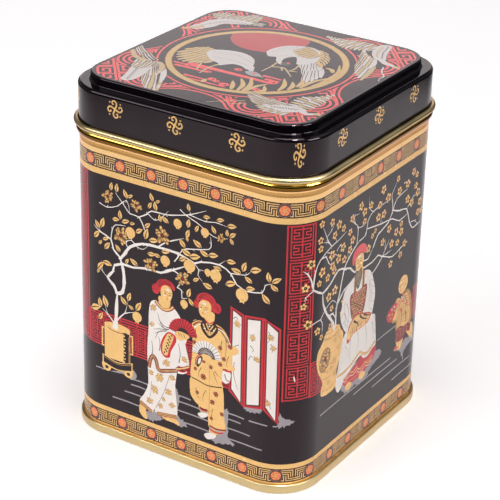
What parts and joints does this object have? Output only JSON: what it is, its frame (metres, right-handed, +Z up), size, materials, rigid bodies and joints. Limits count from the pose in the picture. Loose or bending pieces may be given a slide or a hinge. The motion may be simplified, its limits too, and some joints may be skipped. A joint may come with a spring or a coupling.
{
  "type": "lithographed tea tin",
  "caption": "Square slip-lid caddy with rounded corners: printed tinplate body, double-seamed base and stepped lid that lifts off.",
  "frame": {"origin": "centre of the base rim, on the surface the tin stands on", "axes": "+Z up through the lid, +X and +Y square to the printed sides"},
  "size_m": [0.078, 0.078, 0.1044],
  "materials": {
    "printed_tinplate": "gloss varnish over printed inks",
    "gold_lacquer": "gold lacquered tinplate, satin",
    "seam_rubber": "matt",
    "lid_tinplate": "gloss varnish over printed inks"
  },
  "bodies": {
    "caddy": {"body_shell": "printed_tinplate", "base_end": "gold_lacquer", "seam_compound": "seam_rubber"},
    "lid": {"lid_shell": "lid_tinplate"}
  },
  "joints": [
    {"name": "lid_lift", "type": "slide", "parent": "caddy", "child": "lid", "axis": [0, 0, 1], "range_m": [0, 0.04]}
  ]
}
